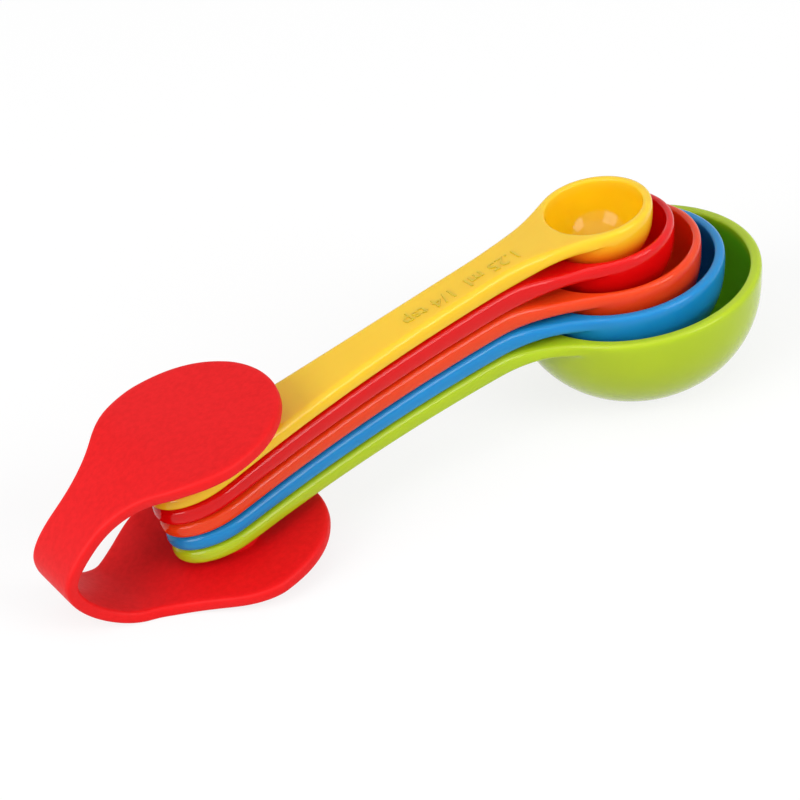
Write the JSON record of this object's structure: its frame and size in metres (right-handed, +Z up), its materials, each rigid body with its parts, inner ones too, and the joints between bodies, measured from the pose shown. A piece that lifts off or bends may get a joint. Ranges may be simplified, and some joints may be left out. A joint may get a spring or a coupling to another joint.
{
  "type": "measuring spoon set",
  "caption": "Nested measuring spoons with long handles, stacked on a post and held at the handle ends by a folded silicone strap that forms a hanging loop.",
  "frame": {"origin": "middle of the set's footprint, on the table it rests on", "axes": "+X from the strap to the bowls, +Y across the handles to the far side, +Z up"},
  "size_m": [0.1322, 0.0432, 0.0373],
  "materials": {
    "green_plastic": "smooth moulded",
    "blue_plastic": "smooth moulded",
    "orange_plastic": "smooth moulded",
    "red_plastic": "smooth moulded",
    "yellow_plastic": "smooth moulded",
    "red_silicone": "matte silicone"
  },
  "bodies": {
    "strap_base": {"strap_base": "red_silicone"},
    "strap_link_1": {"strap_link_1": "red_silicone"},
    "strap_link_2": {"strap_link_2": "red_silicone"},
    "strap_link_3": {"strap_link_3": "red_silicone"},
    "strap_flap": {"strap_flap": "red_silicone"},
    "spoon_15ml": {"spoon_15ml": "green_plastic"},
    "spoon_7_5ml": {"spoon_7_5ml": "blue_plastic"},
    "spoon_5ml": {"spoon_5ml": "orange_plastic"},
    "spoon_2_5ml": {"spoon_2_5ml": "red_plastic"},
    "spoon_1_25ml": {"spoon_1_25ml": "yellow_plastic"}
  },
  "joints": [
    {"name": "strap_opening", "type": "hinge", "parent": "strap_base", "child": "strap_link_1", "pos_m": [-0.05839, 0.00353, 0.00112], "axis": [0, -1, 0], "range_deg": [0, 42]},
    {"name": "loop_bend_low", "type": "hinge", "parent": "strap_link_1", "child": "strap_link_2", "pos_m": [-0.06593, 0.00244, 0.00924], "axis": [0, -1, 0], "range_deg": [0, 42]},
    {"name": "loop_bend_high", "type": "hinge", "parent": "strap_link_2", "child": "strap_link_3", "pos_m": [-0.06097, 0.00109, 0.01912], "axis": [0, -1, 0], "range_deg": [0, 42]},
    {"name": "flap_bend", "type": "hinge", "parent": "strap_link_3", "child": "strap_flap", "pos_m": [-0.05229, 0.00013, 0.02542], "axis": [0, -1, 0], "range_deg": [0, 42]},
    {"name": "lift_15ml", "type": "slide", "parent": "strap_base", "child": "spoon_15ml", "axis": [-0.2284, 0, 0.9736], "range_m": [0, 0.01]},
    {"name": "lift_7_5ml", "type": "slide", "parent": "spoon_15ml", "child": "spoon_7_5ml", "axis": [-0.2284, 0, 0.9736], "range_m": [0, 0.01]},
    {"name": "lift_5ml", "type": "slide", "parent": "spoon_7_5ml", "child": "spoon_5ml", "axis": [-0.2284, 0, 0.9736], "range_m": [0, 0.009]},
    {"name": "lift_2_5ml", "type": "slide", "parent": "spoon_5ml", "child": "spoon_2_5ml", "axis": [-0.2284, 0, 0.9736], "range_m": [0, 0.009]},
    {"name": "lift_1_25ml", "type": "slide", "parent": "spoon_2_5ml", "child": "spoon_1_25ml", "axis": [-0.2284, 0, 0.9736], "range_m": [0, 0.008]}
  ],
  "couplings": [
    {"joint": "strap_opening", "follows": "lift_15ml", "rad_per_m": 73.3},
    {"joint": "loop_bend_low", "follows": "lift_15ml", "rad_per_m": 73.3},
    {"joint": "loop_bend_high", "follows": "lift_15ml", "rad_per_m": 73.3},
    {"joint": "flap_bend", "follows": "lift_15ml", "rad_per_m": 73.3},
    {"joint": "lift_7_5ml", "follows": "lift_15ml", "ratio": 1},
    {"joint": "lift_5ml", "follows": "lift_15ml", "ratio": 0.9},
    {"joint": "lift_2_5ml", "follows": "lift_15ml", "ratio": 0.9},
    {"joint": "lift_1_25ml", "follows": "lift_15ml", "ratio": 0.8}
  ]
}
